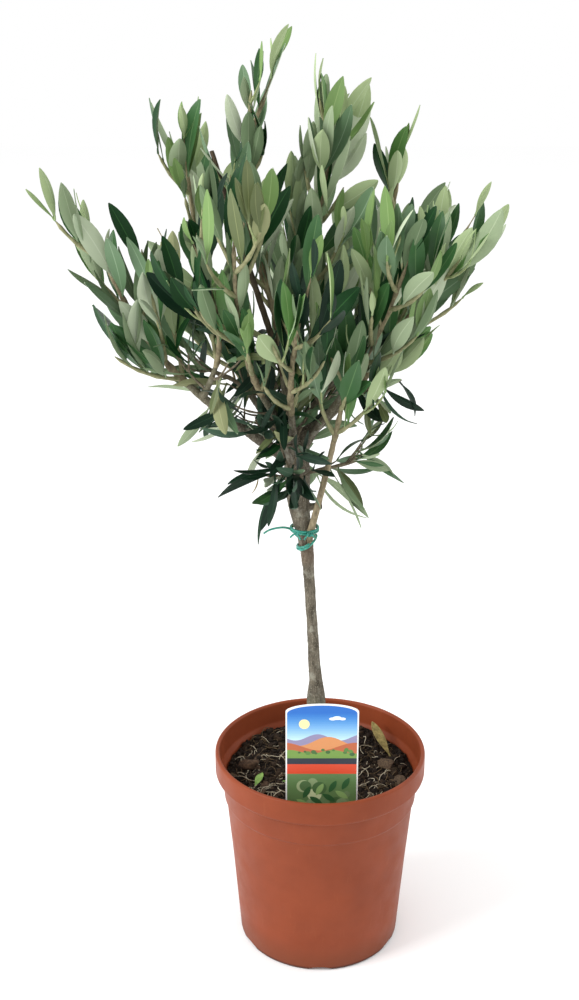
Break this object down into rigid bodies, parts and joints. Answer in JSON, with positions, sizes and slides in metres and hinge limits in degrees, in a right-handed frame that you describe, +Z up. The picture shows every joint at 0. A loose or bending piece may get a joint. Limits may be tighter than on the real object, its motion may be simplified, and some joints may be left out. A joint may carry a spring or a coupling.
{
  "type": "potted olive tree",
  "caption": "Young olive grown as a small standard: bare trunk and an open rounded head of narrow grey-green leaves, in a terracotta-coloured nursery pot with a picture label.",
  "frame": {"origin": "centre of the pot's flat underside, where the plant stands", "axes": "+Z up along the pot's axis; -Y is the front, where the label stands; +X is to the right seen from the front"},
  "size_m": [0.3057, 0.2529, 0.6355],
  "materials": {
    "terracotta_plastic": "satin moulded plastic",
    "peat": "rough crumbly potting soil",
    "label_card": "printed semi-gloss",
    "bark": "rough bark",
    "tie_plastic": "soft plastic string",
    "foliage": "satin leaves, paler underneath"
  },
  "bodies": {
    "root": {"pot": "terracotta_plastic", "soil": "peat", "label": "label_card", "trunk": "bark", "tie_upper": "tie_plastic", "tie_lower": "tie_plastic", "bough_back": "bark", "bough_back_left": "bark", "bough_back_right": "bark", "bough_bare_stick": "bark", "bough_front_centre": "bark", "bough_front_left": "bark", "bough_front_right": "bark", "bough_front_shoot": "bark", "bough_leader": "bark", "bough_left_inner": "bark", "bough_left_low": "bark", "bough_left_side": "bark", "bough_left_twig": "bark", "bough_right_inner": "bark", "bough_right_low": "bark", "bough_right_main": "bark", "bough_upright": "bark", "mass_back": "foliage", "mass_back_left": "foliage", "mass_back_right": "foliage", "mass_far_left": "foliage", "mass_far_right": "foliage", "mass_front_centre": "foliage", "mass_front_left": "foliage", "mass_front_right": "foliage", "mass_front_shoot": "foliage", "mass_leader": "foliage", "mass_left": "foliage", "mass_low_back": "foliage", "mass_low_front": "foliage", "mass_low_hanging": "foliage", "mass_low_left": "foliage", "mass_low_right": "foliage", "mass_right_low": "foliage", "mass_upper_left": "foliage", "mass_upper_right": "foliage", "mass_upright": "foliage"}
  },
  "joints": []
}
